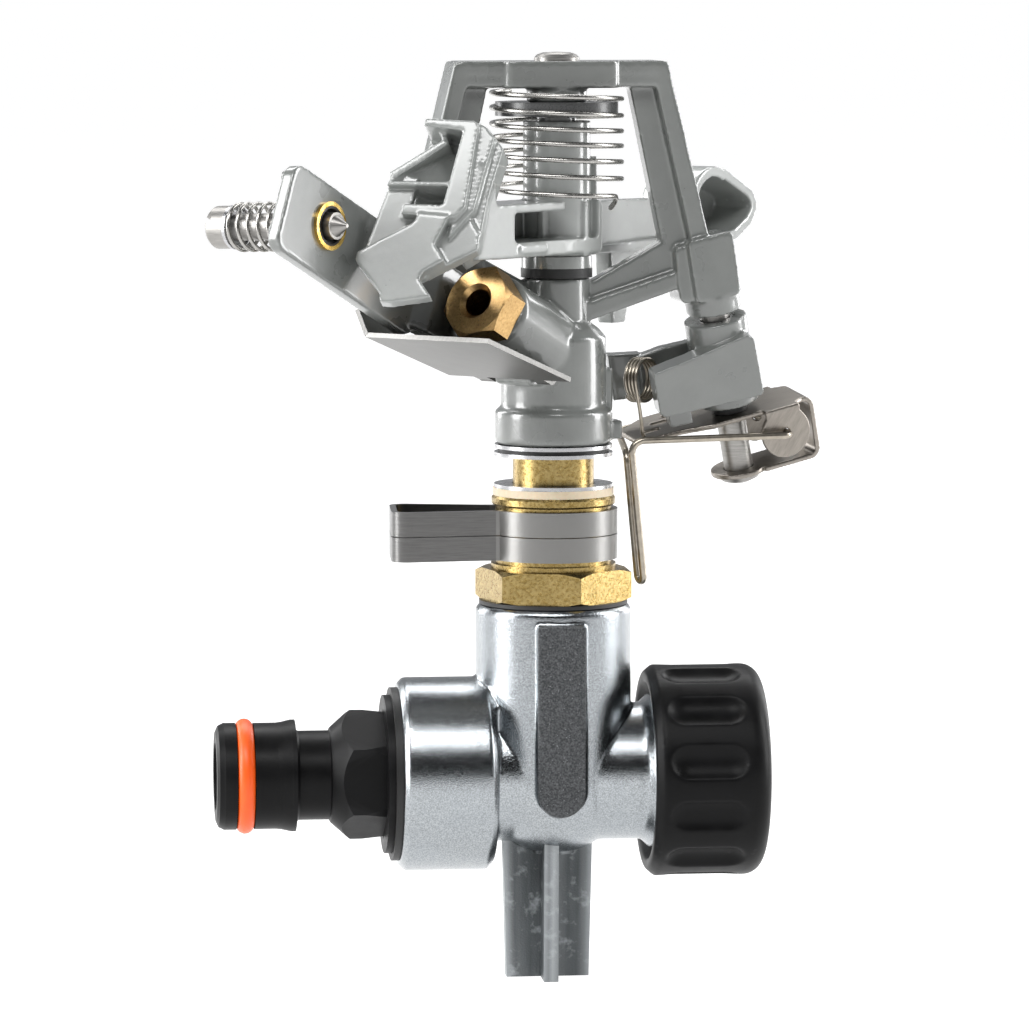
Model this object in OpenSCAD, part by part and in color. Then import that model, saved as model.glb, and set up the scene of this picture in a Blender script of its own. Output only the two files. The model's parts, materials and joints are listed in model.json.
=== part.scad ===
// Part-circle impulse sprinkler on a ground spike.
// Origin: soil line under the base casting, on the vertical turning axis. +Z is up,
// -X points out of the hose inlet, -Y is the front.

/* [Base] */
// Height of the horizontal water way above the soil line
inlet_z = 13; // [12.5:0.1:13.5]
// Height of the top face of the base casting
base_top = 40.4; // [39.8:0.1:40.4]
// Outer radius of the horizontal water tube
tube_r = 11; // [10.5:0.1:11.5]
// Outer radius of the inlet boss
boss_r = 15.5; // [15.2:0.1:16]

/* [Spike] */
// Length of the spike below the soil line
spike_len = 200; // [180:5:230]
// Half width of the spike at the top
spike_w = 7.2; // [6.5:0.1:8]

/* [Collars] */
// Height of one stop collar
collar_h = 3.9; // [3.6:0.1:4]
// Width of the finger loop of a collar
loop_w = 15; // [13:0.5:16]
// Direction of both finger loops, degrees
loop_az = 177; // [172:1:182]

/* [Head] */
// Direction of the bridge relative to the base, degrees
head_az = 6; // [3:1:9]
// Direction of the jet relative to the bridge, degrees
jet_az = 222; // [220:1:224]
// Jet elevation, degrees
jet_el = 25; // [24:0.5:26]
// Bore radius of the nozzle
nozzle_bore = 2.25; // [1.8:0.05:2.6]
// Sideways offset of the fulcrum axis from the bearing axis
head_dx = 0.5; // [0:0.1:0.8]

/* [Springs] */
// Wire radius of the arm spring
arm_wire = 0.42; // [0.35:0.01:0.45]
// Turns of the arm spring
arm_turns = 6.5; // [5.5:0.5:6.5]

/* [Hidden] */
$fn = 64;
eps = 0.01;
jet_z = 79.7;
hub_bot = 96.0;
trip_p = [25.96, 0, 86.1];
trip_t = 16;

// ---------- frames ----------
module bearing_f() { rotate([0, 0, head_az]) children(); }
module head_f() { rotate([0, 0, head_az]) translate([head_dx, 0, 0]) children(); }
module arm_f() { head_f() rotate([0, 0, jet_az]) children(); }
module jet_f() { arm_f() translate([0, 0, jet_z]) rotate([0, -jet_el, 0]) children(); }
// the diffuser plate and its screw lean a little
module diff_f() { jet_f() translate([0, -9, 0]) rotate([2.4, 0, 0]) translate([0, 9, 0]) children(); }
module vane_f() { jet_f() translate([41.3, 0, 0]) rotate([0, 0, 25]) children(); }
module trip_f() { head_f() translate(trip_p) rotate([0, 0, jet_az]) rotate([0, trip_t, 0]) rotate([0, 0, -jet_az]) children(); }
module plate_f() { trip_f() rotate([0, 0, 9]) children(); }
module flap_f() { arm_f() translate([10.6, 0, 77.5]) rotate([0, -18.5, 0]) children(); }
module inlet_f() { translate([0, 0, inlet_z]) rotate([0, 90, 0]) children(); }   // local Z is world X

// ---------- helpers ----------
module ring(ro, ri, h) { difference() { cylinder(r = ro, h = h); translate([0, 0, -1]) cylinder(r = ri, h = h + 2); } }
function unit(v) = v / norm(v);
// polyline with its corners rounded to radius r
function rounded(p, r, n) = [p[0], for (i = [1 : len(p) - 2]) let (a = unit(p[i - 1] - p[i]), b = unit(p[i + 1] - p[i]),
    h = acos(a * b) / 2, c = p[i] + unit(a + b) * r[i] / sin(h), u = unit(p[i] + a * r[i] / tan(h) - c),
    w = unit(p[i] + b * r[i] / tan(h) - c), t = 180 - 2 * h)
    each [for (k = [0 : n]) c + r[i] * (sin((1 - k / n) * t) * u + sin(k / n * t) * w) / sin(t)], p[len(p) - 1]];
function side(p, i, u) = i == len(p) ? [] : let (t = unit(p[min(i + 1, len(p) - 1)] - p[max(i - 1, 0)]), w = unit(u - (u * t) * t))
    concat([[w, cross(t, w)]], side(p, i + 1, w));
// round wire swept along a list of points
module wire(p, r, u0, n) {
    s = side(p, 0, u0);
    polyhedron(points = [for (i = [0 : len(p) - 1], k = [0 : n - 1]) p[i] + r * (cos(k * 360 / n) * s[i][0] + sin(k * 360 / n) * s[i][1])],
        faces = concat([[for (k = [0 : n - 1]) k]],
            [for (i = [0 : len(p) - 2], k = [0 : n - 1]) let (a = i * n + k, b = i * n + (k + 1) % n) each [[a, a + n, b], [b, a + n, b + n]]],
            [[for (k = [0 : n - 1]) len(p) * n - 1 - k]]), convexity = 10);
}
// plate in the local Y-Z plane, thickness along X from x0 to x1
module yz_plate(x0, x1, pts) { translate([x0, 0, 0]) rotate([90, 0, 90]) linear_extrude(x1 - x0) polygon(pts); }
// plate in the local X-Z plane, thickness along Y from y0 to y1
module xz_plate(y0, y1, pts) { translate([0, y1, 0]) rotate([90, 0, 0]) linear_extrude(y1 - y0) polygon(pts); }
// rounded rectangle made of squares and discs
module rrect(x0, y0, x1, y1, r) {
    translate([x0 + r, y0]) square([x1 - x0 - 2 * r, y1 - y0]);
    translate([x0, y0 + r]) square([x1 - x0, y1 - y0 - 2 * r]);
    for (x = [x0 + r, x1 - r], y = [y0 + r, y1 - r]) translate([x, y]) circle(r = r);
}
module xz_rrect(y0, y1, x0, z0, x1, z1, r) { translate([0, y1, 0]) rotate([90, 0, 0]) linear_extrude(y1 - y0) rrect(x0, z0, x1, z1, r); }
module yz_rrect(x0, x1, y0, z0, y1, z1, r) { translate([x0, 0, 0]) rotate([90, 0, 90]) linear_extrude(x1 - x0) rrect(y0, z0, y1, z1, r); }
module xy_rrect(z0, z1, x0, y0, x1, y1, r) { translate([0, 0, z0]) linear_extrude(z1 - z0) rrect(x0, y0, x1, y1, r); }

// swept round wire: centre line given by a list of points with one side vector each
function ringpts(c, u, v, r, n) = [for (i = [0 : n - 1]) c + r * (cos(i * 360 / n) * u + sin(i * 360 / n) * v)];
module coil(rc, rw, turns, pitch, dir, flat, n) {
    // helix about local Z; 'flat' turns at each end are closed (pitch of one wire)
    m = 14; total = round(turns * m);
    f = round(flat * m);
    zz = function (i) let (a = min(i, f), b = min(max(i - f, 0), total - 2 * f), c = max(i - total + f, 0))
        (a + c) * (rw * 2.15) / m + b * pitch / m;
    pts = [for (i = [0 : total]) let (t = dir * 360 * i / m, z = zz(i),
            rad = [cos(t), sin(t), 0], c = [rc * cos(t), rc * sin(t), z])
            each ringpts(c, rad, [0, 0, 1], rw, n)];
    faces = concat(
        [[for (k = [0 : n - 1]) dir > 0 ? k : n - 1 - k]],
        [for (i = [0 : total - 1], k = [0 : n - 1]) let (a = i * n + k, b = i * n + (k + 1) % n, c = a + n, d = b + n)
            dir > 0 ? [a, c, d, b] : [a, b, d, c]],
        [[for (k = [0 : n - 1]) total * n + (dir > 0 ? n - 1 - k : k)]]);
    polyhedron(points = pts, faces = faces, convexity = 10);
}

// ---------- base ----------
module base_casting() {
    color([0.78, 0.81, 0.84]) difference() {
        union() {
            translate([0, 0, 12.3]) sphere(r = 12.45, $fn = 96);
            translate([0, 0, 12.3]) cylinder(r = 12.45, h = base_top - 12.3 - 0.8, $fn = 96);
            translate([0, 0, base_top - 0.8 - eps]) cylinder(r1 = 12.45, r2 = 11.75, h = 0.8 + eps, $fn = 96);
            inlet_f() translate([0, 0, -14]) cylinder(r = tube_r, h = 29, $fn = 96);
            // inlet boss
            inlet_f() translate([0, 0, -24.2]) cylinder(r = boss_r, h = 13, $fn = 96);
            inlet_f() translate([0, 0, -25.2]) cylinder(r1 = boss_r - 1, r2 = boss_r, h = 1 + eps, $fn = 96);
            inlet_f() translate([0, 0, -11.2 - eps]) cylinder(r1 = boss_r, r2 = boss_r - 1.2, h = 1.2, $fn = 96);
            // outlet collar and male thread
            inlet_f() translate([0, 0, 14]) cylinder(r1 = tube_r, r2 = 12.4, h = 1.4, $fn = 96);
            inlet_f() translate([0, 0, 15.4 - eps]) cylinder(r = 12.4, h = 1.0, $fn = 96);
            inlet_f() translate([0, 0, 16.2]) cylinder(r = 13.2, h = 12.8, $fn = 96);
            // front and rear ribs with a round foot
            for (s = [-1, 1]) {
                translate([0, s < 0 ? 0 : 12.95, 0]) rotate([90, 0, 0]) linear_extrude(12.95) {
                    translate([-3.85, inlet_z - 1.8]) square([7.7, 37.9 - inlet_z + 1.8]);
                    translate([0, inlet_z - 1.8]) circle(r = 3.85);
                }
            }
        }
        // top thread bore and vertical water way
        translate([0, 0, 26]) cylinder(r = 10.5, h = 20, $fn = 96);
        translate([0, 0, inlet_z]) cylinder(r = 8, h = 14, $fn = 64);
        // inlet thread bore, water way, outlet bore
        inlet_f() translate([0, 0, -30]) cylinder(r = 13.25, h = 17.5, $fn = 96);
        inlet_f() translate([0, 0, -13]) cylinder(r = 8, h = 45, $fn = 64);
        // socket of the spike stud
        translate([0, 0, -2]) cylinder(r = 3.52, h = 5.6, $fn = 48);
    }
}

module ground_spike() {
    color([0.55, 0.57, 0.58]) difference() {
        union() {
            tip = [[-spike_w, 3], [spike_w, 3], [2.9, -spike_len + 26], [0, -spike_len], [-2.9, -spike_len + 26]];
            translate([-1, 0, 0]) xz_plate(-1.3, 1.3, tip);
            translate([-1, 0, 0]) yz_plate(-1.15, 1.15, tip);
            cylinder(r = 3.5, h = 3.4, $fn = 48);
        }
        difference() {
            translate([0, 0, 12.3]) sphere(r = 12.48, $fn = 96);
            translate([0, 0, -2]) cylinder(r = 3.5, h = 5.4, $fn = 48);
        }
        translate([-20, -20, 3.4]) cube([40, 40, 10]);
    }
}

module hose_nipple() {
    color([0.07, 0.07, 0.075]) difference() {
        union() {
            inlet_f() rotate_extrude($fn = 96) polygon([[0, -54.3], [7.2, -54.3], [8.1, -53.9], [8.55, -53], [8.55, -51.1],
                [7.3, -51.1], [7.3, -48.2], [8.5, -48.2], [8.5, -44.6], [8.6, -43.8], [8.95, -42.3], [8.95, -41.6],
                [7.6, -41.6], [7.15, -41.1], [7.15, -36.2], [7.6, -36], [10.45, -32.8], [10.45, -31], [10, -27.5],
                [12.7, -27.4], [12.7, -26.3], [10.6, -26.3], [10.6, -25.2], [13.2, -25], [13.2, -13.8], [12.4, -13], [0, -13]]);
        }
        // six flats
        for (i = [0 : 5]) rotate([0, 0, 0]) inlet_f() rotate([0, 0, i * 60 + 30]) translate([9.05, -15, -35.9]) cube([6, 30, 8.49]);
        // water way
        inlet_f() translate([0, 0, -60]) cylinder(r = 5.4, h = 30, $fn = 64);
        inlet_f() translate([0, 0, -31]) cylinder(r = 8, h = 30, $fn = 64);
    }
}

module nipple_oring() {
    color([1, 0.36, 0.1]) inlet_f() translate([0, 0, -49.65]) rotate_extrude($fn = 96) translate([7.78, 0]) intersection() {
        circle(r = 1.43, $fn = 32);
        translate([-0.46, -2]) square([3, 4]);
    }
}

module nipple_washer() {
    color([0.05, 0.05, 0.05]) inlet_f() translate([0, 0, -26.28]) ring(13.9, 10.65, 1.06);
}

module bearing_nipple() {
    color([0.83, 0.66, 0.32]) difference() {
        union() {
            translate([0, 0, 30]) cylinder(r = 10.45, h = 11.1, $fn = 96);
            intersection() {
                translate([0, 0, 41]) rotate([0, 0, 44]) cylinder(r = 12.7, h = 5.1, $fn = 6);
                translate([0, 0, 41]) rotate_extrude($fn = 96) polygon([[0, 0], [11.6, 0], [12.8, 0.5], [12.8, 4.4], [11.4, 5.1], [0, 5.1]]);
            }
            translate([0, 0, 46]) cylinder(r = 10, h = 0.9, $fn = 96);
            translate([0, 0, 46.5]) cylinder(r = 9.25, h = 10, $fn = 96);
            translate([0, 0, 56.2]) rotate_extrude($fn = 96) polygon([[0, 0], [9.6, 0], [9.9, 0.3], [9.9, 1.2], [9.6, 1.6], [0, 1.6]]);
        }
        translate([0, 0, 28]) cylinder(r = 6.55, h = 31, $fn = 96);
    }
}

module nipple_seal() { color([0.05, 0.05, 0.05]) translate([0, 0, base_top]) ring(11.9, 10.5, 41 - base_top); }
module nylon_washer() { color([0.83, 0.75, 0.62]) translate([0, 0, 57.8]) ring(9.65, 6.6, 1.23); }
module steel_washer_lower() { color([0.8, 0.8, 0.82]) translate([0, 0, 59.03]) ring(9.5, 6.6, 0.6); }

// stop collar: spring strip with a finger loop, closed round the seat
module collar(z0) {
    ro = 10.3; ri = 9.3; t = 1.0; ln = 26.1; hw = loop_w / 2;
    rotate([0, 0, loop_az]) translate([0, 0, z0]) linear_extrude(collar_h) difference() {
        union() {
            circle(r = ro, $fn = 96);
            polygon([[8.2, -5.2], [11.5, -5.4], [ln - 2.5, -hw], [ln - 2.5, hw], [11.5, 5.4], [8.2, 5.2]]);
            translate([ln - 5, -hw + 2.5]) square([5, loop_w - 5]);
            for (s = [-1, 1]) translate([ln - 2.5, s * (hw - 2.5)]) circle(r = 2.5);
        }
        difference() {
            circle(r = ri, $fn = 96);
        }
        polygon([[8, -3.7], [11.7, -4.45], [ln - 2.7, -hw + t], [ln - 2.7, hw - t], [11.7, 4.45], [8, 3.7]]);
        translate([ln - 5, -hw + 2.5]) square([5 - t, loop_w - 5]);
        for (s = [-1, 1]) translate([ln - 2.5, s * (hw - 2.5)]) circle(r = 2.5 - t);
    }
}
module collar_upper() { color([0.5, 0.5, 0.5]) collar(51.75); }
module collar_lower() { color([0.5, 0.5, 0.5]) collar(51.6 - collar_h); }

// ---------- end cap on the outlet ----------
module end_cap() {
    color([0.06, 0.06, 0.065]) difference() {
        inlet_f() rotate_extrude($fn = 96) difference() {
            union() {
                polygon([[0, 33.4], [0, 14.8], [15.9, 14.8], [17, 16.1], [17, 30.4], [14, 30.4], [14, 33.4]]);
                translate([14, 30.4]) circle(r = 3);
            }
            polygon([[-1, 14.5], [14.6, 14.5], [13.27, 16.4], [13.27, 31.5], [-1, 31.5]]);
        }
        for (i = [0 : 11]) inlet_f() rotate([0, 0, i * 30 + 18]) translate([20, 0, 0]) {
            translate([0, 0, 19.8]) cylinder(r = 4.2, h = 6.9, $fn = 48);
            translate([0, 0, 19.8]) sphere(r = 4.2, $fn = 48);
            translate([0, 0, 26.7]) sphere(r = 4.2, $fn = 48);
        }
    }
}
module end_cap_seal() { color([0.05, 0.05, 0.05]) inlet_f() translate([0, 0, 29.03]) ring(13.1, 9, 2.42); }

// ---------- rotating head ----------
// T-section limb: outer flange of full depth and a thin web towards the inside
module limb(po, pi, ft) {
    // po, pi: outer and inner lines as pairs of [x, z]; ft: flange thickness
    fl = [po[0] + (pi[0] - po[0]) * ft, po[1] + (pi[1] - po[1]) * ft];
    xz_plate(-4, 4, [po[0], po[1], fl[1], fl[0]]);
    xz_plate(-1.7, 1.7, [po[0], po[1], pi[1], pi[0]]);
}

module head_body() {
    color([0.58, 0.59, 0.585]) difference() {
        union() {
            // skirt and barrel
            bearing_f() translate([0, 0, 66]) rotate_extrude($fn = 96) polygon([[0, 0], [8.9, 0], [9.35, 0.5], [9.35, 5.2],
                [8.4, 6], [8.4, 17], [7.2, 18.4], [5.25, 19.8], [0, 19.8]]);
            // column
            head_f() translate([0, 0, 76]) cylinder(r = 5.25, h = 16.5, $fn = 64);
            // stop lug beside the skirt
            bearing_f() xy_rrect(66.6, 69.6, 6, -2.2, 10.9, 2.2, 0.6);
            bearing_f() xy_rrect(70, 78, 4, -3, 9.2, 3, 0.8);
            // nozzle tube
            jet_f() rotate([0, 90, 0]) rotate_extrude($fn = 64) polygon([[0, 0], [6.5, 0], [6.3, 18.6], [5.8, 19.4], [0, 19.4]]);
            // bridge: legs, top bar and round boss
            head_f() {
                for (s = [-1, 1]) mirror([s < 0 ? 1 : 0, 0, 0]) {
                    limb([[17.2, 126.9], [24.3, 98]], [[11.6, 122.6], [16.8, 98]], 0.28);
                    xz_plate(-4, 4, [[-0.1, 124.9], [-0.1, 126.9], [16.5, 126.9], [17.2, 126.2], [17, 124.9]]);
                    xz_plate(-1.7, 1.7, [[-0.1, 122.6], [-0.1, 126.6], [16.9, 126.6], [11.6, 122.6]]);
                }
                xy_rrect(122.6, 126.9, -9.3, -4.9, 9.3, 4.9, 1.5);
                translate([0, 0, 120.4]) cylinder(r = 4.8, h = 3);
                // right strut and knee
                xz_plate(-1.7, 1.7, [[4, 85.4], [4, 91.4], [6.2, 92.3], [16.8, 98.2], [24.3, 98.2], [23.5, 93], [18.6, 90.3]]);
                xz_plate(-3.2, 3.2, [[4, 85.4], [4, 88.6], [18.4, 93.2], [22, 93.2], [18.6, 90.3]]);
                // left strut and foot
                mirror([1, 0, 0]) {
                    xz_plate(-1.7, 1.7, [[4, 82], [4, 91.4], [6.2, 92.3], [16.8, 98.2], [24.3, 98.2], [24.8, 93], [19, 85]]);
                    xz_plate(-3.2, 3.2, [[15, 84.5], [22.2, 98], [24.3, 98], [24.8, 93], [18.6, 84.5]]);
                }
            }
            // trip bearing block
            head_f() xz_plate(-4.9, 3.9, [[20.4, 97.6], [21, 98.4], [27.2, 99.8], [27.8, 99.2], [29.1, 90.3], [28.6, 89.6], [22.4, 88.3], [21.8, 89]]);
            head_f() xz_plate(-3.7, 3.7, [[18.6, 96.6], [19.2, 97.4], [22, 97.6], [22.4, 88.6], [20.2, 88.2], [19.4, 88.9]]);
            trip_f() translate([0, 0, 0.9]) cylinder(r = 4.4, h = 2.8, $fn = 48);
            // diffuser arm: flat outer part, rear rib, root curving in to the tube
            diff_f() {
                xz_rrect(-11.2, -9, 26, -7.6, 63.6, 6.5, 2.4);
                xz_rrect(-13.2, -11.1, 32, -4.6, 61.5, -2.8, 0.8);
                xz_rrect(-13.2, -11.1, 32, 4.2, 61.5, 6.2, 0.8);
                translate([52.5, -11.1, 0.4]) rotate([90, 0, 0]) cylinder(r = 4.7, h = 3.9, $fn = 48);
            }
            jet_f() {
                translate([0, 0, -6]) linear_extrude(12) polygon([[34, -9], [28, -8.6], [24.8, -7], [19.2, -6.7], [18.6, -4.6],
                    [10, -3], [10, -6], [18, -9.2], [26, -11.3], [34, -11.3]]);
            }
            // flap hinge lug
            arm_f() xz_rrect(-3.4, 3.4, 6, 75.9, 12.2, 79.2, 1.4);
        }
        // bearing socket, water ways
        bearing_f() translate([0, 0, 60]) cylinder(r = 6.52, h = 14, $fn = 96);
        bearing_f() translate([0, 0, 70]) cylinder(r = 4.6, h = 11, $fn = 48);
        jet_f() rotate([0, 90, 0]) cylinder(r = 3.4, h = 30, $fn = 48);
        jet_f() translate([12.5, 0, 0]) rotate([0, 90, 0]) cylinder(r = 4.62, h = 10, $fn = 48);
        // fulcrum pin hole
        head_f() translate([0, 0, 86]) cylinder(r = 2.02, h = 50, $fn = 48);
        // trip pin hole
        trip_f() translate([0, 0, -1]) cylinder(r = 2.37, h = 9.52, $fn = 48);
        // diffuser bush hole
        diff_f() translate([52.5, -8, 0.4]) rotate([90, 0, 0]) cylinder(r = 3.02, h = 9, $fn = 48);
        // flap pin hole
        arm_f() translate([10.6, 10, 77.5]) rotate([90, 0, 0]) cylinder(r = 0.67, h = 20, $fn = 32);
    }
}

module bearing_tube() {
    color([0.83, 0.66, 0.32]) bearing_f() difference() {
        union() {
            translate([0, 0, 27.2]) cylinder(r = 8.3, h = 1.8, $fn = 96);
            translate([0, 0, 28.9]) cylinder(r = 6.5, h = 45, $fn = 96);
        }
        translate([0, 0, 26]) cylinder(r = 4.6, h = 50, $fn = 64);
    }
}
module tube_seal() { color([0.1, 0.1, 0.1]) bearing_f() translate([0, 0, 29.0]) ring(8.2, 6.5, 0.95); }

module steel_washers_upper() {
    color([0.8, 0.8, 0.82]) bearing_f() {
        translate([0, 0, 64.1]) ring(9.5, 6.5, 0.6);
        translate([0, 0, 65.35]) ring(9.4, 6.5, 0.6);
    }
}
module dust_seal() { color([0.05, 0.05, 0.05]) bearing_f() translate([0, 0, 64.7]) ring(8.9, 6.5, 0.65); }

module fulcrum_pin() {
    color([0.8, 0.8, 0.8]) head_f() {
        translate([0, 0, 86]) cylinder(r = 2.0, h = 41, $fn = 48);
        translate([0, 0, 126.9]) rotate_extrude($fn = 64) polygon([[0, 0], [3.6, 0], [3.6, 0.5], [3.1, 1], [2.2, 1.3], [0, 1.4]]);
    }
}

module nozzle() {
    color([0.72, 0.52, 0.26]) jet_f() rotate([0, 90, 0]) difference() {
        union() {
            translate([0, 0, 12.6]) cylinder(r = 4.6, h = 7, $fn = 48);
            intersection() {
                translate([0, 0, 19.4]) rotate([0, 0, 45]) cylinder(r = 6.35, h = 4.6, $fn = 6);
                translate([0, 0, 19.4]) rotate_extrude($fn = 64) polygon([[0, 0], [6.5, 0], [6.5, 3.7], [5.45, 4.6], [0, 4.6]]);
            }
        }
        translate([0, 0, 10]) cylinder(r = nozzle_bore, h = 20, $fn = 48);
        translate([0, 0, 12]) cylinder(r1 = 3.6, r2 = nozzle_bore, h = 5, $fn = 48);
        translate([0, 0, 23.3]) cylinder(r1 = nozzle_bore - 0.01, r2 = nozzle_bore + 0.8, h = 0.8, $fn = 48);
    }
}

module spring_seat() {
    color([0.12, 0.12, 0.12]) head_f() difference() {
        union() {
            translate([0, 0, 118.2]) cylinder(r = 9.8, h = 2.2, $fn = 64);
        }
        translate([0, 0, 117]) cylinder(r = 2.05, h = 5, $fn = 48);
    }
}

module arm_spring() {
    color([0.75, 0.74, 0.72]) head_f() translate([0, 0, 121.9]) rotate([0, 0, 142]) mirror([0, 0, 1])
        coil(10.65, arm_wire, arm_turns, 2.53, 1, 0, 6);
}

module hub_washer() { color([0.05, 0.05, 0.05]) head_f() translate([0, 0, 92.55]) ring(5.7, 2.05, 1.45); }

module diffuser_bush() {
    color([0.85, 0.6, 0.15]) diff_f() translate([52.5, -8.4, 0.4]) rotate([90, 0, 0]) difference() {
        union() {
            cylinder(r = 3.75, h = 0.6, $fn = 48);
            cylinder(r = 3.0, h = 6.5, $fn = 48);
        }
        translate([0, 0, -1]) cylinder(r = 2.16, h = 10, $fn = 48);
        translate([0, 0, -1]) cylinder(r = 2.7, h = 2.2, $fn = 48);
    }
}
module diffuser_screw() {
    color([0.75, 0.75, 0.75]) diff_f() translate([52.5, 0, 0.4]) rotate([90, 0, 0]) difference() {
        union() {
            translate([0, 0, 7.4]) cylinder(r = 2.1, h = 20, $fn = 48);
            translate([0, 0, 5.4]) cylinder(r1 = 0.3, r2 = 1.7, h = 2.01, $fn = 48);
            translate([0, 0, 27.2]) rotate_extrude($fn = 48) polygon([[0, 0], [3.35, 0], [3.35, 3], [2.9, 3.6], [0, 3.6]]);
        }
        translate([-5, -0.5, 29.5]) cube([10, 1, 3]);
    }
}
module diffuser_washer() {
    color([0.7, 0.7, 0.7]) diff_f() translate([52.5, -26.6, 0.4]) rotate([90, 0, 0]) ring(3.5, 2.16, 0.57);
}
module diffuser_spring() {
    color([0.75, 0.74, 0.72]) diff_f() translate([52.5, -15.05 - 0.34, 0.4]) rotate([90, 0, 0])
        coil(3.6, 0.32, 6.5, 1.95, 1, 0.75, 5);
}

// ---------- deflector flap ----------
module flap_pin() { color([0.75, 0.75, 0.75]) arm_f() translate([10.6, 6.9, 77.5]) rotate([90, 0, 0]) cylinder(r = 0.65, h = 13.8, $fn = 32); }
module deflector_flap() {
    color([0.82, 0.81, 0.8]) flap_f() difference() {
        union() {
            // sheet
            translate([0, 0, -1.15]) linear_extrude(0.75) polygon([[2.2, -11.6], [2.2, -6.8], [-0.2, -6.8], [-0.2, -4.2], [2.2, -4.2],
                [2.2, 4.2], [-0.2, 4.2], [-0.2, 6.8], [2.2, 6.8], [2.2, 12], [25.2, 12], [25.2, -11.6]]);
            // knuckles rolled round the pin
            for (y = [-5.5, 5.5]) translate([0, y + 1.3, 0]) rotate([90, 0, 0]) cylinder(r = 1.25, h = 2.6, $fn = 32);
            // flared side flange
            translate([0, -11.5, -0.8]) rotate([30, 0, 0]) xz_plate(-0.35, 0.35, [[2.2, 0], [25.2, 0], [26, 4.4], [22.7, 4.6], [7, 2.6], [2.2, 1.2]]);
            translate([2.3, -11.47, -0.78]) rotate([0, 90, 0]) cylinder(r = 0.36, h = 22.8, $fn = 24);
        }
        translate([0, 20, 0]) rotate([90, 0, 0]) cylinder(r = 0.7, h = 40, $fn = 32);
    }
}

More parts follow.
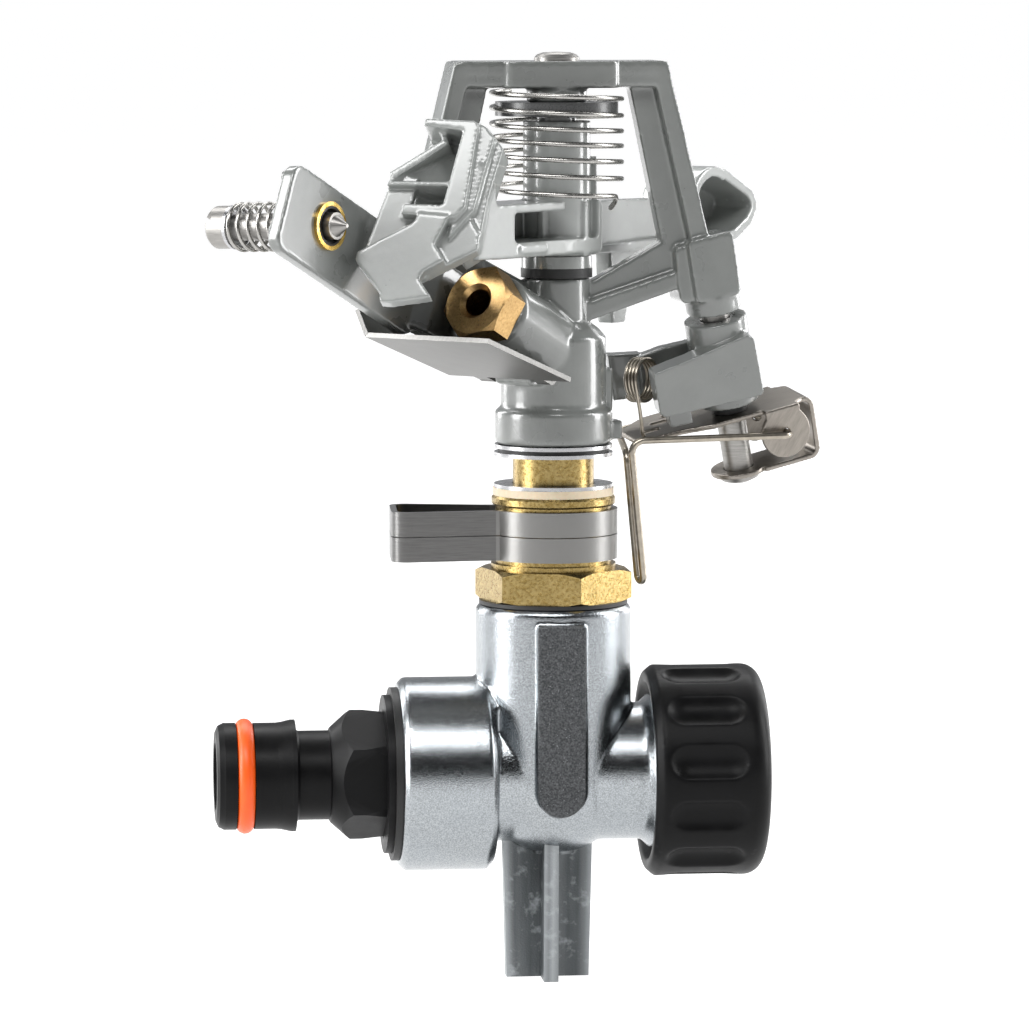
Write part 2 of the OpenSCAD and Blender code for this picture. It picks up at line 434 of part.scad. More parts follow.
// ---------- drive arm ----------
module drive_arm() {
    color([0.66, 0.67, 0.66]) difference() {
        union() {
            arm_f() {
                // hub tube with side ribs
                translate([0, 0, hub_bot]) cylinder(r = 5.36, h = 21.4, $fn = 64);
                xy_rrect(hub_bot, 111.6, -7.2, -2, 0, 3.2, 0.8);
                for (a = [10, 90]) rotate([0, 0, a]) translate([3.6, -0.6, hub_bot]) cube([2.3, 1.2, 8.6]);
                // lower box with a deep pocket, open in front and above
                difference() {
                    xz_rrect(-4.6, 6, -4.3, 96.5, 25, 104.9, 1);
                    translate([0, 7, 0]) rotate([90, 0, 0]) linear_extrude(10.2) {
                        rrect(4, 98.9, 19.5, 103.5, 1);
                        rrect(-3.1, 98.9, 6, 108, 1);
                    }
                }
                xz_rrect(5.9, 6.3, 11, 97.2, 18.4, 98.4, 0.5);
                // link to the head of the arm
                xz_plate(3.4, 6, [[20, 96.6], [29, 96.6], [30, 100], [28, 112], [25.5, 112], [24, 104.8], [20, 104.8]]);
                // tail: web and flanges
                xz_plate(0.4, 2.4, [[-4, 96], [-4, 104.6], [-32, 104.2], [-32, 97]]);
                xz_plate(-1.6, 4.4, [[-4, 96], [-4, 97.4], [-33, 98.2], [-33, 96.6]]);
                // finger reaching down to the pawl
                xz_plate(-0.2, 2.8, [[-10.8, 97], [-21, 97.6], [-17.3, 92], [-15.2, 84.6], [-11.6, 84.6], [-11.2, 92]]);
                // counterweight
                translate([0, 5, 0]) rotate([90, 0, 0]) linear_extrude(10) {
                    translate([-37.6, 102.4]) circle(r = 6.7, $fn = 64);
                    polygon([[-40.5, 96.3], [-44.2, 96.9], [-48.5, 99.2], [-50.3, 101.7], [-50.3, 103], [-48.9, 104.8], [-41, 108.6], [-37.6, 102.4]]);
                }
            }
            vane_f() {
                // lower face with its foot
                yz_plate(-1, 1.6, [[-8.8, -1.2], [-8.7, -2.6], [-3.6, -7], [-3.2, -8.4], [-1.6, -8.2], [4.4, -6], [1.8, -3.5],
                    [2.1, -2.3], [4.9, 0.2], [2.7, 2.5], [3.8, 7.3], [-0.9, 6.8], [-1.5, 5.2]]);
                // left skin behind it and facet to the right
                yz_plate(-2.6, -0.9, [[-8.5, -1.6], [-7.1, 13.2], [-3, 13.2], [-3, 6.6], [2.4, 6.6], [2.4, -2.4], [-3, -6.4]]);
                yz_plate(-3.6, -0.9, [[2, -2.3], [9, 3.6], [8.6, 6.2], [5.8, 9.2], [2, 7.4]]);
                // channel with front rim and back wall
                difference() {
                    yz_plate(-6.2, 1.4, [[-3.9, 20.9], [-3.9, 22.2], [3.8, 23.3], [4.5, 22.6], [5.8, 9.2], [4.6, 7.2], [-3.7, 6.2], [-3.7, 7.6]]);
                    yz_plate(-5.2, 2, [[-6, 20.8], [2.3, 21.4], [2.3, 8.95], [-6, 7.5]]);
                }
                // shelf
                yz_plate(-5.6, 0.6, [[-7.3, 10.5], [4.5, 12.8], [4.5, 13.6], [-7.2, 11.3]]);
                // slanting edge of the wing with its skin falling back
                yz_plate(-5.4, 0, [[-7.6, 12.9], [-3.6, 16.9], [-0.6, 19.9], [0.3, 19.3], [-2.7, 15.9], [-6.6, 12]]);
                yz_plate(-5.4, -0.8, [[-1.9, 21.4], [-0.9, 21.4], [0.3, 19.4], [-0.6, 19.2]]);
                intersection() {
                    yz_plate(-6, 0, [[-7.3, 10.6], [-7.3, 13.2], [-3, 16.8], [-0.4, 19.4], [1, 19.4], [1, 11.8]]);
                    translate([0, 0, 10]) linear_extrude(10) polygon([[0, -7.8], [-1.2, -7.8], [-6, -0.6], [-6, 1], [-5.1, 1], [0, -6.6]]);
                }
                // side wall: raised band beside the rim, then the round back
                yz_plate(-7.5, 0.2, [[3.4, 23.6], [5.2, 23.2], [7.2, 21.6], [7, 16], [7, 9.4], [6, 7.6], [4.2, 4]]);
                yz_plate(-7.5, -1.5, [[3.6, 24.2], [5.5, 23.4], [8.6, 20.7], [8.4, 16], [8.3, 12], [8.8, 4.2], [6.6, 2], [4.2, 4]]);
            }
        }
        // bore of the hub
        arm_f() translate([0, 0, 90]) cylinder(r = 3.22, h = 40, $fn = 64);
        // hollow of the counterweight
        arm_f() translate([0, 6, 0]) rotate([90, 0, 0]) linear_extrude(8.4) {
            translate([-37.6, 102.4]) circle(r = 5, $fn = 64);
            polygon([[-40.3, 98], [-43.6, 98.5], [-47.2, 100.4], [-48.6, 102], [-48.4, 103], [-47.4, 103.9], [-40.6, 106.9], [-37.6, 102.4]]);
        }
        // small hole beside the channel
        vane_f() yz_plate(-4, 2.6, [[-2.9, 5.7], [-1.7, 5], [-2.6, 4.3]]);
    }
}
module arm_bushing() {
    color([0.6, 0.6, 0.6]) arm_f() difference() {
        union() {
            translate([0, 0, 94.05]) cylinder(r = 5.6, h = 1.9, $fn = 64);
            translate([0, 0, 95.9]) cylinder(r = 3.2, h = 22, $fn = 64);
        }
        translate([0, 0, 93]) cylinder(r = 2.05, h = 30, $fn = 48);
    }
}

// ---------- reversing gear ----------
module trip_pin() {
    color([0.6, 0.6, 0.6]) trip_f() {
        translate([0, 0, -26.7]) cylinder(r = 2.35, h = 35.2, $fn = 48);
        translate([0, 0, -28.2]) rotate_extrude($fn = 48) polygon([[0, 0], [1.8, 0], [3.1, 0.6], [3.5, 1.5], [0, 1.5]]);
    }
}
module pawl() {
    color([0.6, 0.61, 0.605]) trip_f() difference() {
        union() {
            translate([0, 0, -14.6]) cylinder(r = 5.05, h = 14.2, $fn = 64);
            // front lever
            xz_plate(-6.6, -2.6, [[-12.6, -5.3], [-6.9, -4.4], [3.4, -2.4], [4.4, -3.4], [4.6, -12.4], [4, -12.9], [-12, -12.9], [-12.7, -12.2], [-12.8, -6]]);
            // rear finger
            xz_plate(3.4, 5.6, [[0, -4.6], [-8.6, -4.6], [-13, -5.2], [-13, -12.3], [0, -12.6]]);
            xz_plate(4.4, 6.6, [[-12, -5], [-17.4, -4.1], [-17.7, -11.8], [-12, -12.2]]);
            // stop lug
            xz_plate(-5.4, -2.8, [[-11.2, -12.8], [-11.2, -15.2], [-7.4, -15.2], [-7.4, -12.8]]);
        }
        translate([0, 0, -20]) cylinder(r = 2.42, h = 30, $fn = 48);
    }
}
module pawl_bush() { color([0.06, 0.06, 0.06]) trip_f() translate([0, 0, -16.05]) ring(3, 2.42, 1.43); }

module trip_plate() {
    color([0.72, 0.71, 0.69]) plate_f() difference() {
        union() {
            // upper leaf
            translate([0, 0, -16.9]) linear_extrude(0.8) {
                polygon([[-17.6, -1.6], [-16.2, -3], [-10, -3.4], [-5, -5], [3, -5], [8, -5.8], [11, -4.2], [11, 4.2], [8, 5.4],
                    [3, 4.8], [-3, 5.4], [-8, 8.2], [-12, 8.2], [-17.6, 5]]);
            }
            // end web and lower leaf
            translate([0, 4.2, 0]) rotate([90, 0, 0]) linear_extrude(8.4) difference() {
                rrect(0, -26.65, 12.9, -16.1, 1.8);
                rrect(-3, -25.85, 12.1, -16.9, 1);
                translate([-1, -30]) square([4, 20]);
            }
            translate([0, 0, -26.65]) linear_extrude(0.8) {
                circle(r = 4.6);
                polygon([[0, -3.4], [11, -4.2], [11, 4.2], [0, 3.4]]);
            }
            // ears
            for (y = [-6.4, 5.2]) translate([6.6, y + 0.8, -20.3]) rotate([90, 0, 0]) linear_extrude(0.8) {
                circle(r = 4.2, $fn = 48);
                translate([-3, 0]) square([6, 4.2]);
            }
            translate([3.6, -6.4, -16.9]) cube([6, 3, 0.8]);
            translate([3.6, 3, -16.9]) cube([6, 3, 0.8]);
        }
        translate([0, 0, -30]) cylinder(r = 2.42, h = 20, $fn = 48);
        translate([6.6, 10, -20.3]) rotate([90, 0, 0]) cylinder(r = 0.66, h = 20, $fn = 24);
        // slots of the left end
        for (p = [[-15.4, 0.6], [-12.6, 3.4], [-9.8, 5.4]]) translate([p[0], p[1], -18]) xy_rrect(0, 3, 0, -0.6, 3.2, 0.6, 0.55);
    }
}

// hairpin trip wire with both ends in the ears
module trip_wire() {
    color([0.7, 0.66, 0.58]) plate_f() wire(rounded([[6.6, -5.0, -20.3], [6.6, -8.5, -20.3], [-19.3, -4.5, -15.1], [-22.3, -7.9, -37.6],
        [-22.5, -5.8, -37.6], [-19.6, -2.4, -17.6], [-15.6, 11.0, -17.9], [6.6, 8.0, -20.3], [6.6, 4.6, -20.3]],
        [0, 1.2, 2, 1.04, 1.04, 2, 3, 1.2, 0], 3), 0.57, [1, 0, 0], 8);
}

module trip_spring() {
    color([0.72, 0.68, 0.6]) trip_f() translate([-14.5, 0.7, -7.8]) rotate([0, 0, 43]) rotate([90, 0, 0])
        coil(3.4, 0.3, 3.75, 0.66, 1, 0.25, 5);
}

base_casting();
ground_spike();
hose_nipple();
nipple_oring();
nipple_washer();
bearing_nipple();
nipple_seal();
nylon_washer();
steel_washer_lower();
end_cap();
end_cap_seal();
collar_upper();
collar_lower();
head_body();
bearing_tube();
tube_seal();
steel_washers_upper();
dust_seal();
fulcrum_pin();
nozzle();
spring_seat();
arm_spring();
hub_washer();
diffuser_bush();
diffuser_screw();
diffuser_washer();
diffuser_spring();
flap_pin();
deflector_flap();
drive_arm();
arm_bushing();
trip_pin();
pawl();
pawl_bush();
trip_plate();
trip_wire();
trip_spring();
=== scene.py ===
import json
import math

import bmesh
import bpy
import numpy as np
from mathutils import Matrix, Vector


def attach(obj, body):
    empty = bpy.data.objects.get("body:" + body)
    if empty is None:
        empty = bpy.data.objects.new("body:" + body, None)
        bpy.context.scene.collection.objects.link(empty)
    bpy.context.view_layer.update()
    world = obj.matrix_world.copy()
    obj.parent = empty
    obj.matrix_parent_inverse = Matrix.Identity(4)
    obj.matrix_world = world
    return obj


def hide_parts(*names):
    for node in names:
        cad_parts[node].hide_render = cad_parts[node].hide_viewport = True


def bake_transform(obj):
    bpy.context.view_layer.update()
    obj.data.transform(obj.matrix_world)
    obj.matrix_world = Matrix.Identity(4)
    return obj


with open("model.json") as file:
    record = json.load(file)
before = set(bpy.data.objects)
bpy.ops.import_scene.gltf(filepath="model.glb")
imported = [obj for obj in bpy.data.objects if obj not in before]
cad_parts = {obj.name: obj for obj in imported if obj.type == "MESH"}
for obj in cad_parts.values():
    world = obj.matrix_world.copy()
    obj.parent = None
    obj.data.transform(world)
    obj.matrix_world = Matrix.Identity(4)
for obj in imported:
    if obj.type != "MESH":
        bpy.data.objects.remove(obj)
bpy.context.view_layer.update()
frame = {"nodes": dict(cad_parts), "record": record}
nodes = frame["nodes"]
scene = bpy.context.scene
MM = 0.001

body_of = {}
for body_name, names in frame["record"]["behaviour"]["bodies"].items():
    for n in names:
        body_of[n] = body_name

# ---------------------------------------------------------------- camera
RIGHT = Vector((math.cos(math.radians(6)), -math.sin(math.radians(6)), 0))
FWD = Vector((0.10399, 0.98943, -0.10106)).normalized()
UP = RIGHT.cross(FWD).normalized()
cam_data = bpy.data.cameras.new("camera")
cam_data.sensor_width = 36
cam_data.sensor_fit = "HORIZONTAL"
cam_data.lens = 5500 / 1029 * 36
cam_data.clip_start = 0.01
cam_data.clip_end = 400
cam = bpy.data.objects.new("camera", cam_data)
scene.collection.objects.link(cam)
cam.matrix_world = Matrix((
    (RIGHT.x, UP.x, -FWD.x, -0.09768),
    (RIGHT.y, UP.y, -FWD.y, -0.87005),
    (RIGHT.z, UP.z, -FWD.z, 0.14343),
    (0, 0, 0, 1)))
scene.camera = cam


# ---------------------------------------------------------------- frames (same as the solids)
def rz(a):
    return Matrix.Rotation(math.radians(a), 4, "Z")


def ry(a):
    return Matrix.Rotation(math.radians(a), 4, "Y")


def rx(a):
    return Matrix.Rotation(math.radians(a), 4, "X")


def tr(x, y, z):
    return Matrix.Translation((x, y, z))


BEARING = rz(6)
HEAD = rz(6) @ tr(0.5, 0, 0)
ARM = HEAD @ rz(222)
JET = ARM @ tr(0, 0, 79.7) @ ry(-25)
DIFF = JET @ tr(0, -9, 0) @ rx(2.4) @ tr(0, 9, 0)
VANE = JET @ tr(41.3, 0, 0) @ rz(25)
TRIP = HEAD @ tr(25.96, 0, 86.1) @ rz(222) @ ry(16) @ rz(-222)
PLATE = TRIP @ rz(9)


# ---------------------------------------------------------------- node helpers
class Tree:
    def __init__(self, name):
        self.m = bpy.data.materials.new(name)
        self.m.use_nodes = True
        self.nt = self.m.node_tree
        self.nt.nodes.clear()
        self.out = self.nt.nodes.new("ShaderNodeOutputMaterial")
        self.b = self.nt.nodes.new("ShaderNodeBsdfPrincipled")
        self.nt.links.new(self.b.outputs[0], self.out.inputs[0])
        self.tc = self.nt.nodes.new("ShaderNodeTexCoord")
        self._xyz = None

    def set(self, **kw):
        for k, v in kw.items():
            self.b.inputs[k.replace("_", " ")].default_value = v
        return self

    def link(self, a, b):
        self.nt.links.new(a, b)

    def obj(self, scale=(1, 1, 1), rot=(0, 0, 0)):
        mp = self.nt.nodes.new("ShaderNodeMapping")
        mp.inputs["Scale"].default_value = scale
        mp.inputs["Rotation"].default_value = rot
        self.link(self.tc.outputs["Object"], mp.inputs["Vector"])
        return mp.outputs[0]

    def xyz(self):
        if self._xyz is None:
            s = self.nt.nodes.new("ShaderNodeSeparateXYZ")
            self.link(self.tc.outputs["Object"], s.inputs[0])
            self._xyz = s.outputs
        return self._xyz

    def noise(self, scale, detail=2.0, rough=0.5, vec=None, dist=0.0):
        n = self.nt.nodes.new("ShaderNodeTexNoise")
        n.inputs["Scale"].default_value = scale
        n.inputs["Detail"].default_value = detail
        n.inputs["Roughness"].default_value = rough
        n.inputs["Distortion"].default_value = dist
        self.link(vec if vec is not None else self.tc.outputs["Object"], n.inputs["Vector"])
        return n.outputs["Fac"]

    def voronoi(self, scale, vec=None, feature="F1"):
        n = self.nt.nodes.new("ShaderNodeTexVoronoi")
        n.feature = feature
        n.inputs["Scale"].default_value = scale
        self.link(vec if vec is not None else self.tc.outputs["Object"], n.inputs["Vector"])
        return n

    def ramp(self, fac, stops, interp="LINEAR"):
        r = self.nt.nodes.new("ShaderNodeValToRGB")
        r.color_ramp.interpolation = interp
        els = r.color_ramp.elements
        while len(els) < len(stops):
            els.new(0.5)
        for e, (p, c) in zip(els, stops):
            e.position = p
            e.color = (c, c, c, 1) if isinstance(c, (int, float)) else (*c, 1)
        self.link(fac, r.inputs[0])
        return r.outputs[0]

    def math(self, op, a, b=None, clamp=False):
        n = self.nt.nodes.new("ShaderNodeMath")
        n.operation = op
        n.use_clamp = clamp
        for i, v in enumerate((a, b)):
            if v is None:
                continue
            if isinstance(v, (int, float)):
                n.inputs[i].default_value = v
            else:
                self.link(v, n.inputs[i])
        return n.outputs[0]

    def mix(self, fac, a, b, blend="MIX"):
        n = self.nt.nodes.new("ShaderNodeMix")
        n.data_type = "RGBA"
        n.blend_type = blend
        for sock, v in ((n.inputs[0], fac), (n.inputs[6], a), (n.inputs[7], b)):
            if isinstance(v, (int, float)):
                sock.default_value = v if sock.type == "VALUE" else (v, v, v, 1)
            elif isinstance(v, tuple):
                sock.default_value = (*v, 1)
            else:
                self.link(v, sock)
        return n.outputs[2]

    def lerp(self, fac, a, b):
        n = self.nt.nodes.new("ShaderNodeMix")
        n.data_type = "FLOAT"
        for sock, v in ((n.inputs[0], fac), (n.inputs[2], a), (n.inputs[3], b)):
            if isinstance(v, (int, float)):
                sock.default_value = v
            else:
                self.link(v, sock)
        return n.outputs[0]

    def bump(self, height, strength, distance, normal=None):
        n = self.nt.nodes.new("ShaderNodeBump")
        n.inputs["Strength"].default_value = strength
        n.inputs["Distance"].default_value = distance
        self.link(height, n.inputs["Height"])
        if normal is not None:
            self.link(normal, n.inputs["Normal"])
        return n.outputs[0]

    def pointy(self, lo, hi):
        g = self.nt.nodes.new("ShaderNodeNewGeometry")
        return self.ramp(g.outputs["Pointiness"], [(lo, 0.0), (hi, 1.0)])

    def color(self, sock):
        self.link(sock, self.b.inputs["Base Color"])
        return self

    def rough(self, sock):
        self.link(sock, self.b.inputs["Roughness"])
        return self

    def normal(self, sock):
        self.link(sock, self.b.inputs["Normal"])
        return self

    def box_mask(self, lo, hi, soft=0.00015):
        """1 inside the box given in metres, soft at its edges"""
        out = None
        x = self.xyz()
        for i in range(3):
            for v, s in ((lo[i], 1), (hi[i], -1)):
                if v is None:
                    continue
                d = self.math("MULTIPLY", self.math("SUBTRACT", x[i], v), s / soft)
                d = self.math("ADD", d, 0.5, clamp=True)
                out = d if out is None else self.math("MULTIPLY", out, d)
        return out


# ---------------------------------------------------------------- materials
def grey_paint(name, base, rough=0.26):
    t = Tree(name)
    big = t.noise(180, 3, 0.55)
    fine = t.noise(2600, 2, 0.5)
    peel = t.noise(750, 2, 0.45)
    specks = t.ramp(t.voronoi(520).outputs["Distance"], [(0.03, 1.0), (0.07, 0.0)])
    pick = t.ramp(t.noise(160, 1, 0.5), [(0.56, 0.0), (0.6, 1.0)])
    specks = t.math("MULTIPLY", specks, pick)
    dark = tuple(c * 0.9 for c in base)
    lite = tuple(min(1, c * 1.07) for c in base)
    col = t.mix(t.ramp(big, [(0.3, 0.0), (0.7, 1.0)]), dark, lite)
    col = t.mix(t.math("MULTIPLY", fine, 0.16), col, (base[0] * 0.7, base[1] * 0.7, base[2] * 0.7))
    # painted highlight: convex edges (high pointiness) are mixed towards a lighter grey
    edge_highlight = t.math("MULTIPLY", t.pointy(0.54, 0.62), 0.35)
    col = t.mix(edge_highlight, col, (min(1, base[0] * 1.6), min(1, base[1] * 1.6), min(1, base[2] * 1.6)))
    col = t.mix(t.math("MULTIPLY", specks, 0.75), col, (0.05, 0.05, 0.05))
    t.color(col)
    t.rough(t.lerp(t.ramp(big, [(0.35, 0.0), (0.65, 1.0)]), rough, rough + 0.09))
    n = t.bump(peel, 0.10, 0.0002)
    n = t.bump(fine, 0.05, 0.00008, n)
    n = t.bump(specks, 0.25, 0.00006, n)
    t.normal(n)
    t.set(Metallic=0.0, Specular_IOR_Level=0.75, Coat_Weight=0.8, Coat_Roughness=0.07)
    return t.m


def zinc():
    t = Tree("zinc_plate")
    grain = t.noise(4600, 3, 0.6)
    grain2 = t.noise(9000, 2, 0.6)
    big = t.noise(90, 3, 0.55)
    cells = t.voronoi(4200).outputs["Color"]
    sep = t.nt.nodes.new("ShaderNodeSeparateColor")
    t.link(cells, sep.inputs[0])
    col = t.mix(t.ramp(grain, [(0.35, 0.0), (0.65, 1.0)]), (0.25, 0.265, 0.278), (0.46, 0.485, 0.50))
    col = t.mix(t.math("MULTIPLY", t.ramp(big, [(0.4, 0.0), (0.7, 1.0)]), 0.25), col, (0.34, 0.37, 0.40))
    spark = t.ramp(sep.outputs[0], [(0.86, 0.0), (0.9, 1.0)])
    # dull speckled face of the long rib, front and rear
    x = t.xyz()
    ay = t.math("ABSOLUTE", x[1])
    face = t.math("ADD", t.math("MULTIPLY", t.math("SUBTRACT", ay, 0.01262), 1 / 0.00016), 0.5, clamp=True)
    ax = t.math("ABSOLUTE", x[0])
    side = t.math("ADD", t.math("MULTIPLY", t.math("SUBTRACT", 0.0039, ax), 1 / 0.00015), 0.5, clamp=True)
    low = t.math("ADD", t.math("MULTIPLY", t.math("SUBTRACT", x[2], 0.0067), 1 / 0.0003), 0.5, clamp=True)
    mask = t.math("MULTIPLY", t.math("MULTIPLY", face, side), low)
    speck = t.mix(t.ramp(t.noise(3600, 3, 0.7), [(0.4, 0.0), (0.66, 1.0)]), (0.035, 0.037, 0.04), (0.12, 0.125, 0.13))
    stars = t.ramp(t.voronoi(2600).outputs["Distance"], [(0.05, 1.0), (0.16, 0.0)])
    stars = t.math("MULTIPLY", stars, t.ramp(t.noise(1300, 1, 0.5), [(0.5, 0.0), (0.56, 1.0)]))
    speck = t.mix(stars, speck, (0.62, 0.64, 0.66))
    col = t.mix(mask, col, speck)
    t.color(col)
    r = t.lerp(t.ramp(grain, [(0.3, 0.0), (0.7, 1.0)]), 0.12, 0.27)
    r = t.lerp(t.math("MULTIPLY", spark, 0.5), r, 0.1)
    r = t.lerp(mask, r, 0.5)
    t.rough(r)
    met = t.lerp(mask, 1.0, 0.4)
    t.link(met, t.b.inputs["Metallic"])
    n = t.bump(grain, 0.26, 0.00012)
    n = t.bump(grain2, 0.18, 0.00006, n)
    n = t.bump(big, 0.06, 0.0005, n)
    t.normal(n)
    return t.m


def spike_mat():
    t = Tree("spike_cast")
    streak = t.noise(220, 4, 0.65, t.obj((1, 1, 0.12)))
    fine = t.noise(3200, 3, 0.6)
    blot = t.noise(420, 3, 0.6)
    col = t.mix(t.ramp(streak, [(0.3, 0.0), (0.7, 1.0)]), (0.06, 0.066, 0.069), (0.135, 0.147, 0.153))
    col = t.mix(t.math("MULTIPLY", t.ramp(blot, [(0.55, 0.0), (0.75, 1.0)]), 0.6), col, (0.5, 0.53, 0.55))
    # painted highlight: convex edges (high pointiness) are mixed towards a light steel grey
    edge_highlight = t.math("MULTIPLY", t.pointy(0.53, 0.62), 0.6)
    col = t.mix(edge_highlight, col, (0.62, 0.65, 0.67))
    t.color(col)
    t.rough(t.lerp(fine, 0.38, 0.58))
    t.set(Metallic=0.75)
    t.normal(t.bump(fine, 0.3, 0.00025, t.bump(streak, 0.25, 0.0006)))
    return t.m


def black_plastic():
    t = Tree("black_plastic")
    fine = t.noise(5200, 2, 0.5)
    big = t.noise(240, 3, 0.5)
    col = t.mix(t.ramp(big, [(0.3, 0.0), (0.7, 1.0)]), (0.0035, 0.0035, 0.0037), (0.006, 0.006, 0.0064))
    # painted highlight: convex edges (high pointiness) are mixed towards a lighter black
    edge_highlight = t.math("MULTIPLY", t.pointy(0.54, 0.62), 0.35)
    col = t.mix(edge_highlight, col, (0.022, 0.022, 0.023))
    t.color(col)
    t.rough(t.lerp(t.ramp(big, [(0.3, 0.0), (0.7, 1.0)]), 0.36, 0.46))
    t.set(Specular_IOR_Level=0.13)
    t.normal(t.bump(fine, 0.16, 0.00006, t.bump(big, 0.05, 0.0003)))
    return t.m


def rubber(name, c, rough=0.45):
    t = Tree(name)
    fine = t.noise(3800, 2, 0.5)
    big = t.noise(600, 2, 0.5)
    t.color(t.mix(big, tuple(x * 0.86 for x in c), tuple(min(1, x * 1.08) for x in c)))
    t.rough(t.lerp(fine, rough - 0.06, rough + 0.1))
    t.normal(t.bump(fine, 0.12, 0.0001))
    return t.m


def brass(name, a, b, rough, grain=2200, strength=0.25):
    t = Tree(name)
    g = t.noise(grain, 3, 0.65)
    big = t.noise(260, 3, 0.6)
    col = t.mix(t.ramp(g, [(0.36, 0.0), (0.64, 1.0)]), a, b)
    col = t.mix(t.math("MULTIPLY", t.ramp(big, [(0.45, 0.0), (0.75, 1.0)]), 0.35), col, tuple(x * 0.7 for x in a))
    t.color(col)
    t.rough(t.lerp(g, rough, rough + 0.16))
    t.set(Metallic=1.0)
    t.normal(t.bump(g, strength, 0.00015))
    return t.m


def steel(name, c, rough, stretch=(1, 1, 40), scale=260, strength=0.12, spread=0.14):
    t = Tree(name)
    lines = t.noise(scale, 4, 0.65, t.obj(stretch))
    big = t.noise(200, 3, 0.55)
    col = t.mix(t.ramp(lines, [(0.3, 0.0), (0.7, 1.0)]), tuple(x * 0.78 for x in c), tuple(min(1, x * 1.12) for x in c))
    col = t.mix(t.math("MULTIPLY", t.ramp(big, [(0.5, 0.0), (0.8, 1.0)]), 0.25), col, tuple(x * 0.7 for x in c))
    t.color(col)
    t.rough(t.lerp(lines, rough, rough + spread))
    t.set(Metallic=1.0)
    t.normal(t.bump(lines, strength, 0.0001))
    return t.m


def nylon():
    t = Tree("nylon")
    f = t.noise(1500, 3, 0.6)
    t.color(t.mix(f, (0.55, 0.44, 0.30), (0.70, 0.60, 0.45)))
    t.rough(t.lerp(f, 0.4, 0.55))
    t.set(Subsurface_Weight=0.15, Subsurface_Scale=0.001)
    t.normal(t.bump(f, 0.15, 0.0001))
    return t.m


M = {
    "paint": grey_paint("grey_lacquer", (0.150, 0.158, 0.150)),
    "paint_arm": grey_paint("grey_lacquer_arm", (0.275, 0.287, 0.277), 0.28),
    "zinc": zinc(),
    "spike": spike_mat(),
    "black": black_plastic(),
    "orange": rubber("orange_rubber", (1.0, 0.11, 0.006), 0.38),
    "rubber": rubber("black_rubber", (0.012, 0.012, 0.012), 0.5),
    "dark": rubber("dark_plastic", (0.055, 0.056, 0.056), 0.26),
    "brass_hex": brass("brass_cast", (0.27, 0.185, 0.06), (0.44, 0.33, 0.14), 0.2, 1700, 0.25),
    "brass": brass("brass_turned", (0.50, 0.31, 0.125), (0.66, 0.44, 0.20), 0.22, 2400, 0.08),
    "gold": brass("brass_bush", (0.75, 0.45, 0.08), (1.0, 0.72, 0.25), 0.16, 900, 0.08),
    "collar": steel("steel_collar", (0.17, 0.168, 0.165), 0.24, (1, 1, 30)),
    "washer": steel("steel_washer", (0.50, 0.50, 0.51), 0.2, (1, 1, 6), 300, 0.05),
    "sheet": steel("steel_sheet", (0.22, 0.217, 0.21), 0.33, (1, 30, 1), 160, 0.06),
    "plate": steel("steel_plate", (0.29, 0.265, 0.235), 0.26, (1, 18, 1), 300, 0.06),
    "spring": steel("spring_wire", (0.42, 0.41, 0.39), 0.2, (1, 1, 1), 900, 0.05),
    "wire": steel("trip_wire", (0.40, 0.36, 0.30), 0.24, (1, 1, 1), 900, 0.05),
    "pin": steel("pin_steel", (0.33, 0.32, 0.305), 0.32, (1, 1, 12), 300, 0.06),
    "nylon": nylon(),
}
use = {
    "base_casting": "zinc", "ground_spike": "spike", "hose_nipple": "black", "nipple_oring": "orange", "nipple_washer": "rubber",
    "bearing_nipple": "brass_hex", "nipple_seal": "rubber", "nylon_washer": "nylon", "steel_washer_lower": "washer",
    "end_cap": "black", "end_cap_seal": "rubber", "collar_upper": "collar", "collar_lower": "collar",
    "head_body": "paint", "bearing_tube": "brass_hex", "tube_seal": "rubber", "steel_washers_upper": "washer", "dust_seal": "rubber",
    "fulcrum_pin": "pin", "nozzle": "brass", "spring_seat": "dark", "arm_spring": "spring", "hub_washer": "rubber",
    "diffuser_bush": "gold", "diffuser_screw": "pin", "diffuser_washer": "washer", "diffuser_spring": "spring",
    "flap_pin": "pin", "deflector_flap": "sheet", "drive_arm": "paint_arm", "arm_bushing": "paint",
    "trip_pin": "pin", "pawl": "paint", "pawl_bush": "rubber", "trip_plate": "plate", "trip_wire": "wire", "trip_spring": "wire",
}


def near_axis(t, point, axis, r, soft=0.0001):
    """1 within r of an axis, 0 outside; all in metres"""
    sub = t.nt.nodes.new("ShaderNodeVectorMath")
    sub.operation = "SUBTRACT"
    sub.inputs[1].default_value = point
    t.link(t.tc.outputs["Object"], sub.inputs[0])
    cr = t.nt.nodes.new("ShaderNodeVectorMath")
    cr.operation = "CROSS_PRODUCT"
    cr.inputs[1].default_value = axis
    t.link(sub.outputs[0], cr.inputs[0])
    ln = t.nt.nodes.new("ShaderNodeVectorMath")
    ln.operation = "LENGTH"
    t.link(cr.outputs[0], ln.inputs[0])
    return t.math("ADD", t.math("MULTIPLY", t.math("SUBTRACT", r, ln.outputs["Value"]), 1 / soft), 0.5, clamp=True)


def masked(name, source, point, axis, r, inside, metal=None):
    """a copy of a material with another colour within r of an axis"""
    t = Tree.__new__(Tree)
    t.m = M[source].copy()
    t.m.name = name
    t.nt = t.m.node_tree
    t.b = next(n for n in t.nt.nodes if n.type == "BSDF_PRINCIPLED")
    t.tc = next(n for n in t.nt.nodes if n.type == "TEX_COORD")
    t._xyz = None
    mask = near_axis(t, point, axis, r)
    old = t.b.inputs["Base Color"].links[0].from_socket
    t.color(t.mix(mask, old, inside))
    if metal is not None:
        t.link(t.lerp(mask, t.b.inputs["Metallic"].default_value, metal), t.b.inputs["Metallic"])
    return t.m


